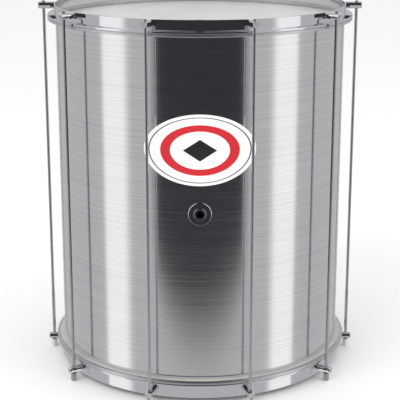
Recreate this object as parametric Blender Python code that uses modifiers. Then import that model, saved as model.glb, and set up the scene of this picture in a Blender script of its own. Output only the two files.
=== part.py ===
"""A tall cylindrical bass drum with ten full-length tension rods.

Units are metres and +Z is up. The origin is on the drum's axis, in the plane of the ten tuning
nuts' lower faces, which the drum stands on. The front, with the badge and the vent, faces -Y.
"""

import math

import bmesh
import bpy
from mathutils import Matrix, Vector

# Shell: a rolled aluminium sheet with thickened bearing edges.
SHELL_RADIUS = 0.254
SHELL_LENGTH = 0.580
SHELL_WALL = 0.0015
EDGE_WIDTH = 0.004
EDGE_HEIGHT = 0.006

# Clearance between pieces that touch.
GAP = 0.0003

# Heads: plastic film bonded to the foot of a flesh hoop.
FILM_THICKNESS = 0.0005
FILM_OVERHANG = 0.008
FLESH_HOOP_CLEARANCE = 0.0026
FLESH_HOOP_WIDTH = 0.0112
FLESH_HOOP_FOOT = 0.0046
FLESH_HOOP_NECK = 0.0026
FLESH_HOOP_STEP = 0.0017

# Counterhoops: a flat band with an outward flange and lip over the flesh hoop.
BAND_THICKNESS = 0.0025
TOP_BAND_RADIUS = 0.2565
BOTTOM_BAND_RADIUS = 0.2595
TOP_BAND_RISE = 0.0172
BOTTOM_BAND_RISE = 0.0226
FLANGE_THICKNESS = 0.0015
EDGE_ROUND = 0.0008

# Tension rods and their barrel lugs and nuts.
ROD_COUNT = 10
FIRST_ROD_ANGLE = math.radians(-72)
ROD_CIRCLE_RADIUS = 0.276
ROD_RADIUS = 0.00265
THREAD_RADIUS = 0.003
THREAD_LENGTH = 0.090
ROD_HEAD_RADIUS = 0.0036
ROD_HEAD_HEIGHT = 0.0018
LUG_RADIUS = 0.006
LUG_REACH = 0.0095
LUG_CHAMFER = 0.0016
LUG_OFFSET = 0.0116
NUT_FLATS = 0.010
NUT_LENGTH = 0.0138
ROD_RECESS = 0.001

# Vent: a flanged eyelet through the shell with a ring behind it.
VENT_HEIGHT = 0.333
VENT_FLANGE_RADIUS = 0.0195
VENT_FLANGE_THICKNESS = 0.0016
VENT_TUBE_RADIUS = 0.0085
VENT_BORE_RADIUS = 0.0060
VENT_COLLAR_RADIUS = 0.0105
VENT_COLLAR_HEIGHT = 0.0022
VENT_RING_RADIUS = 0.0150
VENT_RING_THICKNESS = 0.0014

# Badge: a thin oval plate curved round the shell.
BADGE_HEIGHT = 0.4395
BADGE_HALF_WIDTH = 0.091
BADGE_HALF_TALL = 0.059
BADGE_THICKNESS = 0.0007

# Facets round the big circles, the rods and the small round pieces.
HOOP_STEPS = 60
ROD_STEPS = 12
BORE_STEPS = 16

# Heights worked out from the sizes above.
LOWER_LUG_Z = NUT_LENGTH + GAP + LUG_RADIUS + GAP
FLANGE_DROP = FLANGE_THICKNESS + GAP
FLESH_HOOP_HEIGHT = FLESH_HOOP_FOOT + FLESH_HOOP_NECK
HEAD_OFFSET = LUG_OFFSET + FLANGE_DROP + FLESH_HOOP_HEIGHT + GAP
SHELL_BOTTOM_Z = LOWER_LUG_Z + HEAD_OFFSET + FILM_THICKNESS + GAP
SHELL_TOP_Z = SHELL_BOTTOM_Z + SHELL_LENGTH
UPPER_LUG_Z = SHELL_TOP_Z + GAP + FILM_THICKNESS + HEAD_OFFSET
FLESH_HOOP_INNER = SHELL_RADIUS + FLESH_HOOP_CLEARANCE
FLESH_HOOP_OUTER = FLESH_HOOP_INNER + FLESH_HOOP_WIDTH


def clear_scene():
    for thing in list(bpy.data.objects):
        bpy.data.objects.remove(thing, do_unlink=True)


def new_collection(name):
    collection = bpy.data.collections.new(name)
    bpy.context.scene.collection.children.link(collection)
    return collection


def new_material(name, color, roughness, metallic):
    material = bpy.data.materials.new(name)
    material.use_nodes = True
    shader = material.node_tree.nodes["Principled BSDF"]
    shader.inputs["Base Color"].default_value = (*color, 1)
    shader.inputs["Roughness"].default_value = roughness
    shader.inputs["Metallic"].default_value = metallic
    return material


def add_object(name, mesh, collection, material):
    piece = bpy.data.objects.new(name, mesh)
    collection.objects.link(piece)
    if not mesh.materials:
        mesh.materials.append(material)
    return piece


def turned(name, profile, steps, collection, material):
    """A profile of (radius, height) points, running down its outer side, turned round Z."""
    mesh = bpy.data.meshes.new(name)
    closed = profile[0][0] > 0
    count = len(profile)
    edges = [(i, (i + 1) % count) for i in range(count if closed else count - 1)]
    mesh.from_pydata([(r, 0, z) for r, z in profile], edges, [])
    piece = add_object(name, mesh, collection, material)
    screw = piece.modifiers.new("Turn", "SCREW")
    screw.axis = "Z"
    screw.steps = steps
    screw.render_steps = steps
    screw.use_merge_vertices = True
    screw.merge_threshold = 0.0001
    screw.use_smooth_shade = True
    return piece


def cylinder_cutter(name, radius, length, steps, collection, matrix):
    """A closed cylinder along its own Z, centred on its origin."""
    mesh = bpy.data.meshes.new(name)
    shape = bmesh.new()
    bmesh.ops.create_cone(
        shape, cap_ends=True, segments=steps, radius1=radius, radius2=radius, depth=length
    )
    shape.to_mesh(mesh)
    shape.free()
    cutter = bpy.data.objects.new(name, mesh)
    collection.objects.link(cutter)
    cutter.matrix_world = matrix
    cutter.hide_render = True
    cutter.display_type = "WIRE"
    return cutter


def boolean(piece, cutter, operation):
    modifier = piece.modifiers.new(cutter.name, "BOOLEAN")
    modifier.operation = operation
    modifier.object = cutter
    modifier.solver = "EXACT"


def settled_mesh(piece, name):
    """The piece's evaluated mesh, for copies to share. The piece itself is removed."""
    bpy.context.view_layer.update()
    graph = bpy.context.evaluated_depsgraph_get()
    mesh = bpy.data.meshes.new_from_object(piece.evaluated_get(graph))
    mesh.name = name
    bpy.data.objects.remove(piece, do_unlink=True)
    return mesh


def rod_places():
    """The number, angle and foot point of each rod, counted from the front left."""
    places = []
    for index in range(ROD_COUNT):
        angle = FIRST_ROD_ANGLE + index * 2 * math.pi / ROD_COUNT
        point = Vector((math.cos(angle), math.sin(angle), 0)) * ROD_CIRCLE_RADIUS
        places.append((index + 1, angle, point))
    return places


def make_shell(collection, cutters, material):
    inner = SHELL_RADIUS - SHELL_WALL
    edge = SHELL_RADIUS - EDGE_WIDTH
    shell = turned(
        "shell",
        [
            (SHELL_RADIUS - EDGE_ROUND, SHELL_TOP_Z),
            (SHELL_RADIUS, SHELL_TOP_Z - EDGE_ROUND),
            (SHELL_RADIUS, SHELL_BOTTOM_Z + EDGE_ROUND),
            (SHELL_RADIUS - EDGE_ROUND, SHELL_BOTTOM_Z),
            (edge, SHELL_BOTTOM_Z),
            (edge, SHELL_BOTTOM_Z + EDGE_HEIGHT),
            (inner, SHELL_BOTTOM_Z + EDGE_HEIGHT + EDGE_WIDTH),
            (inner, SHELL_TOP_Z - EDGE_HEIGHT - EDGE_WIDTH),
            (edge, SHELL_TOP_Z - EDGE_HEIGHT),
            (edge, SHELL_TOP_Z),
        ],
        HOOP_STEPS,
        collection,
        material,
    )
    hole = cylinder_cutter(
        "vent_hole_cutter",
        VENT_TUBE_RADIUS + GAP,
        4 * EDGE_WIDTH,
        BORE_STEPS,
        cutters,
        Matrix.Translation((0, -SHELL_RADIUS, VENT_HEIGHT)) @ Matrix.Rotation(math.pi / 2, 4, "X"),
    )
    boolean(shell, hole, "DIFFERENCE")


def make_head(name, shell_edge_z, outward, collection, material):
    """A flat film over the shell's edge; outward is 1 at the top and -1 at the bottom."""
    near = shell_edge_z + outward * GAP
    far = near + outward * FILM_THICKNESS
    high, low = max(near, far), min(near, far)
    radius = SHELL_RADIUS + FILM_OVERHANG
    profile = [(0, high), (radius, high), (radius, low), (0, low)]
    turned(name, profile, HOOP_STEPS, collection, material)


def mirrored_profile(points, lug_z, outward):
    """Points of (radius, distance from the lug towards the drum's middle) made (radius, height)."""
    profile = [(radius, lug_z - outward * inward) for radius, inward in points]
    return profile if outward > 0 else profile[::-1]


def make_flesh_hoop(name, lug_z, outward, collection, material):
    face = LUG_OFFSET + FLANGE_DROP
    foot = face + FLESH_HOOP_HEIGHT
    neck_radius = FLESH_HOOP_OUTER - FLESH_HOOP_STEP
    points = [
        (neck_radius, face),
        (neck_radius, face + FLESH_HOOP_NECK),
        (FLESH_HOOP_OUTER, face + FLESH_HOOP_NECK),
        (FLESH_HOOP_OUTER, foot - EDGE_ROUND),
        (FLESH_HOOP_OUTER - EDGE_ROUND, foot),
        (FLESH_HOOP_INNER, foot),
        (FLESH_HOOP_INNER, face),
    ]
    profile = mirrored_profile(points, lug_z, outward)
    turned(name, profile, HOOP_STEPS, collection, material)


def make_counterhoop(name, lug_z, outward, band_radius, rise, collection, material):
    top = LUG_OFFSET - rise
    under = LUG_OFFSET + FLANGE_THICKNESS
    lip = LUG_OFFSET + FLANGE_DROP + FLESH_HOOP_NECK - GAP
    lip_inner = FLESH_HOOP_OUTER - FLESH_HOOP_STEP + GAP
    points = [
        (band_radius - EDGE_ROUND, top),
        (band_radius, top + EDGE_ROUND),
        (band_radius, LUG_OFFSET),
        (FLESH_HOOP_OUTER - EDGE_ROUND, LUG_OFFSET),
        (FLESH_HOOP_OUTER, LUG_OFFSET + EDGE_ROUND),
        (FLESH_HOOP_OUTER, lip),
        (lip_inner, lip),
        (lip_inner, under),
        (band_radius - BAND_THICKNESS, under),
        (band_radius - BAND_THICKNESS, top),
    ]
    profile = mirrored_profile(points, lug_z, outward)
    turned(name, profile, HOOP_STEPS, collection, material)


def lug_mesh(name, band_radius, bore_radius, collection, cutters, material):
    """A chamfered barrel along +X, with its rod's bore on the Z axis at its origin."""
    inner = band_radius + GAP - ROD_CIRCLE_RADIUS
    barrel = turned(
        name,
        [
            (0, LUG_REACH),
            (LUG_RADIUS - LUG_CHAMFER, LUG_REACH),
            (LUG_RADIUS, LUG_REACH - LUG_CHAMFER),
            (LUG_RADIUS, inner),
            (0, inner),
        ],
        BORE_STEPS,
        collection,
        material,
    )
    barrel.rotation_euler = (0, math.pi / 2, 0)
    turn = Matrix.Rotation(math.pi / 2, 4, "Y")
    bore = cylinder_cutter(
        name + "_cutter", bore_radius, 3 * LUG_RADIUS, ROD_STEPS, cutters, Matrix.Identity(4)
    )
    boolean(barrel, bore, "DIFFERENCE")
    mesh = settled_mesh(barrel, name)
    mesh.transform(turn)
    return mesh


def nut_mesh(name, collection, cutters, material):
    """A long hexagon nut standing on its origin, with a plain bore."""
    across_corners = NUT_FLATS / math.cos(math.pi / 6)
    mesh = bpy.data.meshes.new(name)
    shape = bmesh.new()
    bmesh.ops.create_cone(
        shape,
        cap_ends=True,
        segments=6,
        radius1=across_corners / 2,
        radius2=across_corners / 2,
        depth=NUT_LENGTH,
        matrix=Matrix.Translation((0, 0, NUT_LENGTH / 2)),
    )
    shape.to_mesh(mesh)
    shape.free()
    body = add_object(name, mesh, collection, material)
    bore = cylinder_cutter(
        name + "_cutter",
        THREAD_RADIUS + GAP,
        4 * NUT_LENGTH,
        ROD_STEPS,
        cutters,
        Matrix.Identity(4),
    )
    boolean(body, bore, "DIFFERENCE")
    return settled_mesh(body, name)


def make_rod_sets(collection, cutters, chrome, steel):
    upper_lug = lug_mesh("upper_lug", TOP_BAND_RADIUS, ROD_RADIUS + GAP, collection, cutters, chrome)
    lower_lug = lug_mesh(
        "lower_lug", BOTTOM_BAND_RADIUS, THREAD_RADIUS + GAP, collection, cutters, chrome
    )
    nut = nut_mesh("nut", collection, cutters, steel)
    head_z = UPPER_LUG_Z + LUG_RADIUS + GAP
    tip_z = ROD_RECESS
    rod_profile = [
        (0, head_z + ROD_HEAD_HEIGHT),
        (ROD_HEAD_RADIUS - EDGE_ROUND, head_z + ROD_HEAD_HEIGHT),
        (ROD_HEAD_RADIUS, head_z),
        (ROD_RADIUS, head_z),
        (ROD_RADIUS, LOWER_LUG_Z + THREAD_LENGTH),
        (THREAD_RADIUS, LOWER_LUG_Z + THREAD_LENGTH),
        (THREAD_RADIUS, tip_z + EDGE_ROUND),
        (THREAD_RADIUS - EDGE_ROUND, tip_z),
        (0, tip_z),
    ]
    for number, angle, point in rod_places():
        label = f"{number:02d}"
        rod = turned("tension_rod_" + label, rod_profile, ROD_STEPS, collection, steel)
        rod.location = point
        for name, mesh, height in (
            ("upper_lug_", upper_lug, UPPER_LUG_Z),
            ("lower_lug_", lower_lug, LOWER_LUG_Z),
            ("tuning_nut_", nut, 0),
        ):
            piece = add_object(name + label, mesh, collection, chrome)
            piece.location = point + Vector((0, 0, height))
            piece.rotation_euler = (0, 0, angle)


def make_vent(collection, material):
    """The eyelet's axis points out of the shell's front, and its origin is on the shell."""
    face = GAP + VENT_FLANGE_THICKNESS
    inside = -SHELL_WALL - GAP - VENT_RING_THICKNESS - GAP
    eyelet = turned(
        "vent_eyelet",
        [
            (VENT_BORE_RADIUS, face + VENT_COLLAR_HEIGHT),
            (VENT_COLLAR_RADIUS - EDGE_ROUND, face + VENT_COLLAR_HEIGHT),
            (VENT_COLLAR_RADIUS, face),
            (VENT_FLANGE_RADIUS - EDGE_ROUND, face),
            (VENT_FLANGE_RADIUS, GAP),
            (VENT_TUBE_RADIUS, GAP),
            (VENT_TUBE_RADIUS, inside),
            (VENT_BORE_RADIUS, inside),
        ],
        24,
        collection,
        material,
    )
    ring = turned(
        "vent_backing_ring",
        [
            (VENT_RING_RADIUS, -SHELL_WALL - GAP),
            (VENT_RING_RADIUS, -SHELL_WALL - GAP - VENT_RING_THICKNESS),
            (VENT_TUBE_RADIUS + GAP, -SHELL_WALL - GAP - VENT_RING_THICKNESS),
            (VENT_TUBE_RADIUS + GAP, -SHELL_WALL - GAP),
        ],
        24,
        collection,
        material,
    )
    # The ring stands back by the bow of the shell's facets across its own width.
    bow = VENT_RING_RADIUS * math.tan(math.pi / HOOP_STEPS)
    for piece, offset in ((eyelet, 0), (ring, bow)):
        piece.location = (0, -SHELL_RADIUS + offset, VENT_HEIGHT)
        piece.rotation_euler = (math.pi / 2, 0, 0)


def make_badge(collection, cutters, material):
    """An oval cut out of a thin ring that lies on the shell."""
    inner = SHELL_RADIUS + GAP
    outer = inner + BADGE_THICKNESS
    low = BADGE_HEIGHT - BADGE_HALF_TALL - GAP
    high = BADGE_HEIGHT + BADGE_HALF_TALL + GAP
    profile = [(outer, high), (outer, low), (inner, low), (inner, high)]
    badge = turned("badge", profile, HOOP_STEPS, collection, material)
    oval = cylinder_cutter(
        "badge_outline_cutter",
        1,
        SHELL_RADIUS,
        48,
        cutters,
        Matrix.Translation((0, -SHELL_RADIUS, BADGE_HEIGHT))
        @ Matrix.Rotation(math.pi / 2, 4, "X")
        @ Matrix.Diagonal((BADGE_HALF_WIDTH, BADGE_HALF_TALL, 1, 1)),
    )
    boolean(badge, oval, "INTERSECT")


def main():
    clear_scene()
    drum = new_collection("bass_drum")
    cutters = new_collection("cutters")
    shell_metal = new_material("polished_aluminium", (0.80, 0.80, 0.81), 0.08, 1.0)
    chrome = new_material("chrome_plate", (0.76, 0.77, 0.78), 0.06, 1.0)
    hoop_metal = new_material("flesh_hoop_aluminium", (0.66, 0.66, 0.67), 0.30, 1.0)
    steel = new_material("zinc_plated_steel", (0.60, 0.61, 0.62), 0.22, 1.0)
    film = new_material("head_film", (0.58, 0.58, 0.57), 0.45, 0.0)
    enamel = new_material("badge_enamel", (0.85, 0.84, 0.83), 0.25, 0.0)

    make_shell(drum, cutters, shell_metal)
    for name, lug_z, edge_z, outward, band_radius, rise in (
        ("top", UPPER_LUG_Z, SHELL_TOP_Z, 1, TOP_BAND_RADIUS, TOP_BAND_RISE),
        ("bottom", LOWER_LUG_Z, SHELL_BOTTOM_Z, -1, BOTTOM_BAND_RADIUS, BOTTOM_BAND_RISE),
    ):
        make_head(name + "_head", edge_z, outward, drum, film)
        make_flesh_hoop(name + "_flesh_hoop", lug_z, outward, drum, hoop_metal)
        make_counterhoop(name + "_counterhoop", lug_z, outward, band_radius, rise, drum, chrome)
    make_rod_sets(drum, cutters, chrome, steel)
    make_vent(drum, chrome)
    make_badge(drum, cutters, enamel)


main()
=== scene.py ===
import math

import bmesh
import bpy
from mathutils import Matrix, Vector


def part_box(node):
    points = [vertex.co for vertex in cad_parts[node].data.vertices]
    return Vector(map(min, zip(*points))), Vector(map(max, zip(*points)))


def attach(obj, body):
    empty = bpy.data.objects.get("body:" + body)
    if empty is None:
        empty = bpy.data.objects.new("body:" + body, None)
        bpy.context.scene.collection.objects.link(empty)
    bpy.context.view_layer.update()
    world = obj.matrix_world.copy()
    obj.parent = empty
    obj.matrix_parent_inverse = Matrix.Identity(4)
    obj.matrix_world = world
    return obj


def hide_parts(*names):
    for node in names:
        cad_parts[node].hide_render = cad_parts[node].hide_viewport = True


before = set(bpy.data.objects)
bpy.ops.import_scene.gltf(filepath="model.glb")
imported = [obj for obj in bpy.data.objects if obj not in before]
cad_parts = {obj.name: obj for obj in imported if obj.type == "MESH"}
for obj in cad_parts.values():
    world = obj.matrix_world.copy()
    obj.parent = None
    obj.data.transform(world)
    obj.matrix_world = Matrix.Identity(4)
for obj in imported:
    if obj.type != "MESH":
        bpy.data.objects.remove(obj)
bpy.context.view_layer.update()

# Camera. It stands a little above the playing head and looks down at the drum's middle,
# level from side to side, with the long lens that the rims' ovals ask for.
CAMERA_PLACE = (0.0, -2.1685, 0.888)
CAMERA_PITCH = math.radians(15.5)
CAMERA_LENS = 109.9
camera_data = bpy.data.cameras.new("camera")
camera_data.lens = CAMERA_LENS
camera_data.sensor_width = 36
camera_data.clip_end = 50
camera = bpy.data.objects.new("camera", camera_data)
camera.location = CAMERA_PLACE
camera.rotation_euler = (math.pi / 2 - CAMERA_PITCH, 0, 0)
bpy.context.scene.collection.objects.link(camera)
bpy.context.scene.camera = camera
bpy.context.scene.view_settings.view_transform = "Standard"


# Shader maths. A Value wraps a socket, so that sums of sockets are written as expressions,
# and a Shader owns one node tree and makes its nodes.
class Value:
    def __init__(self, shader, socket):
        self.shader = shader
        self.socket = socket

    def math(self, operation, other=0.0, reverse=False):
        pair = (other, self) if reverse else (self, other)
        settings = {"operation": operation}
        return self.shader.node("ShaderNodeMath", settings, {0: pair[0], 1: pair[1]})

    def __add__(self, other):
        return self.math("ADD", other)

    def __sub__(self, other):
        return self.math("SUBTRACT", other)

    def __rsub__(self, other):
        return self.math("SUBTRACT", other, reverse=True)

    def __mul__(self, other):
        return self.math("MULTIPLY", other)

    def __truediv__(self, other):
        return self.math("DIVIDE", other)

    def __abs__(self):
        return self.math("ABSOLUTE")

    __radd__ = __add__
    __rmul__ = __mul__

    def smooth(self, low, high):
        """0 below low, 1 above high, and a smooth ramp between them."""
        sockets = {"Value": self, "From Min": low, "From Max": high}
        settings = {"interpolation_type": "SMOOTHSTEP"}
        return self.shader.node("ShaderNodeMapRange", settings, sockets)


class Shader:
    def __init__(self, tree):
        self.tree = tree

    def node(self, kind, settings=None, sockets=None, output=0):
        made = self.tree.nodes.new(kind)
        for name, value in (settings or {}).items():
            setattr(made, name, value)
        for name, value in (sockets or {}).items():
            self.feed(made.inputs[name], value)
        return Value(self, made.outputs[output])

    def feed(self, socket, value):
        if isinstance(value, Value):
            self.tree.links.new(value.socket, socket)
        else:
            socket.default_value = value

    def mix(self, factor, first, second):
        made = self.tree.nodes.new("ShaderNodeMix")
        made.data_type = "RGBA"
        for index, value in ((0, factor), (6, first), (7, second)):
            self.feed(made.inputs[index], value)
        return Value(self, made.outputs[2])


def principled(name, color, roughness, metallic):
    material = bpy.data.materials.new(name)
    material.use_nodes = True
    shader = Shader(material.node_tree)
    surface = material.node_tree.nodes["Principled BSDF"].inputs
    surface["Base Color"].default_value = (*color, 1)
    surface["Roughness"].default_value = roughness
    surface["Metallic"].default_value = metallic
    return material, shader, surface


# Metals. The shell is polished sheet with faint lines round it, the hoops and fittings are
# chromed, the flesh hoops are satin and the rods and nuts are bright zinc.
shell_metal, shader, surface = principled("shell_polish", (0.80, 0.80, 0.81), 0.1, 1.0)
place = shader.node("ShaderNodeTexCoord", output=3)
stretched = shader.node("ShaderNodeMapping", None, {"Vector": place, "Scale": (2, 2, 900)})
lines = shader.node("ShaderNodeTexNoise", None, {"Vector": stretched, "Scale": 1.0, "Detail": 3.0})
clouds = shader.node("ShaderNodeTexNoise", None, {"Vector": place, "Scale": 9.0, "Detail": 4.0})
shader.feed(surface["Roughness"], 0.05 + lines * 0.10 + clouds * 0.05)
shader.feed(
    surface["Base Color"],
    shader.mix(lines.smooth(0.3, 0.7), (0.74, 0.74, 0.755, 1), (0.84, 0.84, 0.85, 1)),
)


def spun_metal(name, color, roughness, spread):
    material, shader, surface = principled(name, color, roughness, 1.0)
    place = shader.node("ShaderNodeTexCoord", output=3)
    grain = shader.node("ShaderNodeTexNoise", None, {"Vector": place, "Scale": 60.0, "Detail": 5.0})
    shader.feed(surface["Roughness"], roughness + grain * spread)
    return material


chrome = spun_metal("chrome_plate", (0.76, 0.77, 0.785), 0.03, 0.05)
hoop_metal = spun_metal("flesh_hoop_satin", (0.66, 0.66, 0.67), 0.24, 0.16)
zinc = spun_metal("bright_zinc", (0.64, 0.65, 0.66), 0.12, 0.16)

# Head film. Pale grey and slightly cloudy, with the soft sheen of coated plastic.
# The cloud moves both its colour and its roughness a little.
film, shader, surface = principled("head_film", (0.56, 0.56, 0.55), 0.42, 0.0)
place = shader.node("ShaderNodeTexCoord", output=3)
cloud = shader.node("ShaderNodeTexNoise", None, {"Vector": place, "Scale": 14.0, "Detail": 6.0})
shader.feed(
    surface["Base Color"],
    shader.mix(cloud.smooth(0.35, 0.65), (0.53, 0.53, 0.525, 1), (0.58, 0.58, 0.57, 1)),
)
shader.feed(surface["Roughness"], 0.36 + cloud * 0.12)


def turned_piece(name, points, steps, material, smooth_angle=40):
    """A closed outline of (radius, height) points, turned round Z with its faces outwards."""
    mesh = bpy.data.meshes.new(name)
    rows = [
        [
            (r * math.cos(2 * math.pi * k / steps), r * math.sin(2 * math.pi * k / steps), z)
            for k in range(steps)
        ]
        for r, z in points
    ]
    vertices = [place for row in rows for place in row]
    faces = []
    count = len(points)
    for i in range(count):
        j = (i + 1) % count
        for k in range(steps):
            m = (k + 1) % steps
            faces.append((i * steps + k, i * steps + m, j * steps + m, j * steps + k))
    mesh.from_pydata(vertices, [], faces)
    shape = bmesh.new()
    shape.from_mesh(mesh)
    bmesh.ops.remove_doubles(shape, verts=shape.verts, dist=1e-6)
    bmesh.ops.recalc_face_normals(shape, faces=shape.faces)
    shape.to_mesh(mesh)
    shape.free()
    mesh.shade_smooth()
    mesh.set_sharp_from_angle(angle=math.radians(smooth_angle))
    mesh.materials.append(material)
    piece = bpy.data.objects.new(name, mesh)
    bpy.context.scene.collection.objects.link(piece)
    return piece


def rounded(points, radius, steps=4):
    """The outline with each corner turned into an arc, as far as its sides leave room."""
    outline = []
    count = len(points)
    for i, corner in enumerate(points):
        here = Vector(corner)
        before = Vector(points[i - 1]) - here
        after = Vector(points[(i + 1) % count]) - here
        reach = min(radius, before.length * 0.45, after.length * 0.45)
        start = here + before.normalized() * reach
        end = here + after.normalized() * reach
        for k in range(steps + 1):
            t = k / steps
            outline.append(tuple(start * (1 - t) ** 2 + here * 2 * t * (1 - t) + end * t**2))
    return outline


# Shell. A smooth tube with rounded bearing edges, and the vent's hole cut through its front.
# The radius and the heights are those of the CAD shell.
shell_low, shell_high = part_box("shell")
SHELL_RADIUS = shell_high[0]
SHELL_WALL = 0.0015
SHELL_LIP = 0.004
LIP_FOOT = 0.006
LIP_END = 0.010
EDGE_ROUND = 0.0009
ROUND_STEPS = 256
VENT_HOLE_RADIUS = 0.0088
VENT_HOLE_DEPTH = 0.03
shell = turned_piece(
    "shell_skin",
    rounded(
        [
            (SHELL_RADIUS, shell_high[2]),
            (SHELL_RADIUS, shell_low[2]),
            (SHELL_RADIUS - SHELL_LIP, shell_low[2]),
            (SHELL_RADIUS - SHELL_LIP, shell_low[2] + LIP_FOOT),
            (SHELL_RADIUS - SHELL_WALL, shell_low[2] + LIP_END),
            (SHELL_RADIUS - SHELL_WALL, shell_high[2] - LIP_END),
            (SHELL_RADIUS - SHELL_LIP, shell_high[2] - LIP_FOOT),
            (SHELL_RADIUS - SHELL_LIP, shell_high[2]),
        ],
        EDGE_ROUND,
    ),
    ROUND_STEPS,
    shell_metal,
)
eyelet_low, eyelet_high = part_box("vent_eyelet")
VENT_HEIGHT = (eyelet_low[2] + eyelet_high[2]) / 2
cutter_mesh = bpy.data.meshes.new("vent_hole")
shape = bmesh.new()
bmesh.ops.create_cone(
    shape,
    cap_ends=True,
    segments=48,
    radius1=VENT_HOLE_RADIUS,
    radius2=VENT_HOLE_RADIUS,
    depth=VENT_HOLE_DEPTH,
)
shape.to_mesh(cutter_mesh)
shape.free()
cutter = bpy.data.objects.new("vent_hole", cutter_mesh)
bpy.context.scene.collection.objects.link(cutter)
cutter.matrix_world = Matrix.Translation((0, -SHELL_RADIUS, VENT_HEIGHT)) @ Matrix.Rotation(
    math.pi / 2, 4, "X"
)
cut = shell.modifiers.new("vent", "BOOLEAN")
cut.object = cutter
cut.solver = "EXACT"
bpy.context.view_layer.update()
graph = bpy.context.evaluated_depsgraph_get()
shell.data = bpy.data.meshes.new_from_object(shell.evaluated_get(graph))
shell.modifiers.clear()
bpy.data.objects.remove(cutter, do_unlink=True)
# The skin's normals point straight out from the axis, so the hole leaves no streak above it.
shell.data.normals_split_custom_set_from_vertices(
    [
        Vector((v.co.x, v.co.y, 0)).normalized()
        if abs(math.hypot(v.co.x, v.co.y) - SHELL_RADIUS) < 2e-5
        else v.normal
        for v in shell.data.vertices
    ]
)
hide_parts("shell")
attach(shell, "drum")

# Heads, flesh hoops and counterhoops, at the top and mirrored at the bottom. Each takes its
# heights and outer radius from its CAD node and rounds the corners.
FLANGE = 0.0015
FLANGE_OVER_LIP = 0.0038
LIP_WALL = 0.0014
BAND = 0.0025
TOP_BAND_RADIUS = 0.2565
BOTTOM_BAND_RADIUS = 0.2595
FLESH_CLEARANCE = 0.0026
FLESH_NECK = 0.0026
FLESH_STEP = 0.0017
FLESH_ROUND = 0.0008
FILM_CENTRE = 0.00001
for end, outward, body in (("top", 1, "top_hoop"), ("bottom", -1, "drum")):
    low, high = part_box(end + "_head")
    head = turned_piece(
        end + "_head_film",
        [(FILM_CENTRE, high[2]), (high[0], high[2]), (high[0], low[2]), (FILM_CENTRE, low[2])],
        192,
        film,
    )
    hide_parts(end + "_head")
    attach(head, "drum")

    low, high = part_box(end + "_flesh_hoop")
    outer, inner = high[0], SHELL_RADIUS + FLESH_CLEARANCE
    face, foot = (high[2], low[2]) if outward > 0 else (low[2], high[2])
    step = face - outward * FLESH_NECK
    flesh = turned_piece(
        end + "_flesh_hoop_ring",
        rounded(
            [
                (inner, face),
                (outer - FLESH_STEP, face),
                (outer - FLESH_STEP, step),
                (outer, step),
                (outer, foot),
                (inner, foot),
            ],
            FLESH_ROUND,
        ),
        ROUND_STEPS,
        hoop_metal,
    )
    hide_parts(end + "_flesh_hoop")
    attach(flesh, "drum")

    low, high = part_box(end + "_counterhoop")
    outer = high[0]
    edge, lip = (high[2], low[2]) if outward > 0 else (low[2], high[2])
    band = TOP_BAND_RADIUS if outward > 0 else BOTTOM_BAND_RADIUS
    flange = lip + outward * FLANGE_OVER_LIP
    hoop = turned_piece(
        end + "_counterhoop_band",
        rounded(
            [
                (band, edge),
                (band, flange),
                (outer, flange),
                (outer, lip),
                (outer - LIP_WALL, lip),
                (outer - LIP_WALL, flange - outward * FLANGE),
                (band - BAND, flange - outward * FLANGE),
                (band - BAND, edge),
            ],
            EDGE_ROUND,
        ),
        ROUND_STEPS,
        chrome,
    )
    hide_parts(end + "_counterhoop")
    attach(hoop, body)

# Rods, nuts, lugs and vent. The CAD nodes keep their shapes and take the finished metals:
# bright zinc on the rods and nuts, chrome on the rest.
for name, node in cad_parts.items():
    if name.startswith(("tension_rod", "tuning_nut")):
        finish = zinc
    elif name.startswith(("upper_lug", "lower_lug", "vent")):
        finish = chrome
    else:
        continue
    for slot in node.material_slots:
        slot.material = finish

# Badge. An oval plate bent round the shell, printed with a keyline, a red ring and a diamond.
# Its print is worked out from how far a point lies across and up the oval.
badge_low, badge_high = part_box("badge")
HALF_WIDTH = badge_high[0]
HALF_TALL = (badge_high[2] - badge_low[2]) / 2
BADGE_MIDDLE = (badge_high[2] + badge_low[2]) / 2
BADGE_GAP = 0.0003
BADGE_THICKNESS = 0.0007
KEYLINE_PLACE, KEYLINE_HALF = 0.91, 0.008
RING_PLACE, RING_HALF = 0.62, 0.085
DIAMOND_SIZE = 0.30
WHITE = (0.86, 0.85, 0.84, 1)
RED = (0.60, 0.02, 0.03, 1)
BLACK = (0.02, 0.02, 0.02, 1)
print_mat, shader, surface = principled("badge_print", WHITE[:3], 0.28, 0.0)
place = shader.node("ShaderNodeTexCoord", output=3)
parts = shader.tree.nodes.new("ShaderNodeSeparateXYZ")
shader.feed(parts.inputs[0], place)
across = Value(shader, parts.outputs[0]) / HALF_WIDTH
up = (Value(shader, parts.outputs[2]) - BADGE_MIDDLE) / HALF_TALL
oval = (across * across + up * up).math("POWER", 0.5)
keyline = 1 - abs(oval - KEYLINE_PLACE).smooth(KEYLINE_HALF, KEYLINE_HALF + 0.006)
ring = 1 - abs(oval - RING_PLACE).smooth(RING_HALF, RING_HALF + 0.007)
diamond = 1 - (abs(up) + abs(across)).smooth(DIAMOND_SIZE, DIAMOND_SIZE + 0.01)
color = shader.mix(ring, WHITE, RED)
color = shader.mix(keyline, color, BLACK)
color = shader.mix(diamond, color, BLACK)
shader.feed(surface["Base Color"], color)

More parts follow.
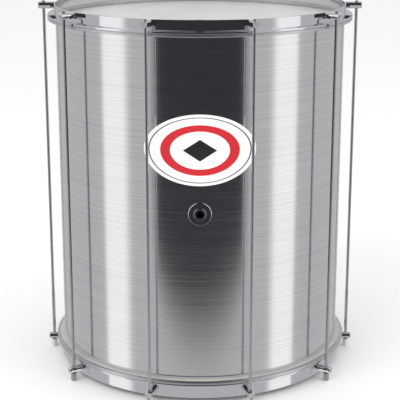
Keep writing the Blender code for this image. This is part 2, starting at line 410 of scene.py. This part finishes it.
BADGE_RINGS = 10
BADGE_SPOKES = 96
plate_mesh = bpy.data.meshes.new("badge_plate")
vertices, faces = [], []
inner_radius = SHELL_RADIUS + BADGE_GAP
for radius in (inner_radius + BADGE_THICKNESS, inner_radius):
    vertices.append((0, -radius, BADGE_MIDDLE))
    for i in range(1, BADGE_RINGS + 1):
        for k in range(BADGE_SPOKES):
            turn = 2 * math.pi * k / BADGE_SPOKES
            x = HALF_WIDTH * i / BADGE_RINGS * math.cos(turn)
            z = BADGE_MIDDLE + HALF_TALL * i / BADGE_RINGS * math.sin(turn)
            vertices.append((x, -math.sqrt(radius**2 - x**2), z))
side = 1 + BADGE_RINGS * BADGE_SPOKES
for base in (0, side):
    for k in range(BADGE_SPOKES):
        m = (k + 1) % BADGE_SPOKES
        faces.append((base, base + 1 + k, base + 1 + m))
        for i in range(BADGE_RINGS - 1):
            a, b = base + 1 + i * BADGE_SPOKES, base + 1 + (i + 1) * BADGE_SPOKES
            faces.append((a + k, b + k, b + m, a + m))
rim = 1 + (BADGE_RINGS - 1) * BADGE_SPOKES
for k in range(BADGE_SPOKES):
    m = (k + 1) % BADGE_SPOKES
    faces.append((rim + k, rim + m, side + rim + m, side + rim + k))
plate_mesh.from_pydata(vertices, [], faces)
shape = bmesh.new()
shape.from_mesh(plate_mesh)
bmesh.ops.recalc_face_normals(shape, faces=shape.faces)
shape.to_mesh(plate_mesh)
shape.free()
plate_mesh.shade_smooth()
plate_mesh.set_sharp_from_angle(angle=math.radians(40))
plate_mesh.materials.append(print_mat)
badge = bpy.data.objects.new("badge_plate", plate_mesh)
bpy.context.scene.collection.objects.link(badge)
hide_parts("badge")
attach(badge, "drum")

# Floor. A pale plain sheet under the drum. The mirrors do not see it, so that the world
# below decides what they show.
FLOOR = 6.0
floor_mesh = bpy.data.meshes.new("floor")
floor_mesh.from_pydata(
    [(-FLOOR, -FLOOR, 0), (FLOOR, -FLOOR, 0), (FLOOR, FLOOR, 0), (-FLOOR, FLOOR, 0)],
    [],
    [(0, 1, 2, 3)],
)
floor_material, shader, surface = principled("floor_paper", (0.93, 0.93, 0.93), 0.9, 0.0)
floor_mesh.materials.append(floor_material)
floor = bpy.data.objects.new("floor", floor_mesh)
floor.visible_glossy = False
bpy.context.scene.collection.objects.link(floor)

# World. White to the camera and as light. The mirrors see a grey studio with a white wing on
# each side and one dark opening in front of the drum, which makes the shell's dark middle.
# Sides are given as x over distance to the front, and the foot as a direction's height.
OPENING_SIDE = (0.62, 0.86)
OPENING_FOOT = (-0.40, -0.34)
FOOT_CURVE = 0.10
WING_NEAR = (1.4, 2.0)
WING_FAR = (6.0, 9.0)
STUDIO_GREY = (0.52, 0.52, 0.53, 1)
STUDIO_WHITE = (1.05, 1.05, 1.05, 1)
STUDIO_DARK = (0.035, 0.035, 0.04, 1)
world = bpy.data.worlds.new("studio")
bpy.context.scene.world = world
world.use_nodes = True
shader = Shader(world.node_tree)
background = world.node_tree.nodes["Background"].inputs
direction = shader.node("ShaderNodeTexCoord", output=0)
parts = shader.tree.nodes.new("ShaderNodeSeparateXYZ")
shader.feed(parts.inputs[0], direction)
side_way, front_way, up_way = (Value(shader, parts.outputs[i]) for i in range(3))
aside = abs(side_way) / (front_way * -1).math("MAXIMUM", 0.01)
above_foot = (up_way + aside * aside * -FOOT_CURVE).smooth(*OPENING_FOOT)
opening = (1 - aside.smooth(*OPENING_SIDE)) * above_foot
wings = aside.smooth(*WING_NEAR) * (1 - aside.smooth(*WING_FAR))
studio = shader.mix(opening, shader.mix(wings, STUDIO_GREY, STUDIO_WHITE), STUDIO_DARK)
paths = shader.tree.nodes.new("ShaderNodeLightPath")
is_glossy = Value(shader, paths.outputs["Is Glossy Ray"])
shader.feed(background["Color"], shader.mix(is_glossy, (1, 1, 1, 1), studio))

# Lights. A large soft key from the upper left and a fill from the right, unseen by mirrors.
for name, place, size, power in (
    ("key", (-1.8, -2.0, 2.6), 2.4, 40),
    ("fill", (2.2, -1.4, 1.8), 2.0, 18),
):
    light_data = bpy.data.lights.new(name, "AREA")
    light_data.size = size
    light_data.energy = power
    light = bpy.data.objects.new(name, light_data)
    light.location = place
    light.rotation_euler = (Vector((0, 0, 0.3)) - Vector(place)).to_track_quat("-Z", "Y").to_euler()
    light.visible_glossy = False
    bpy.context.scene.collection.objects.link(light)
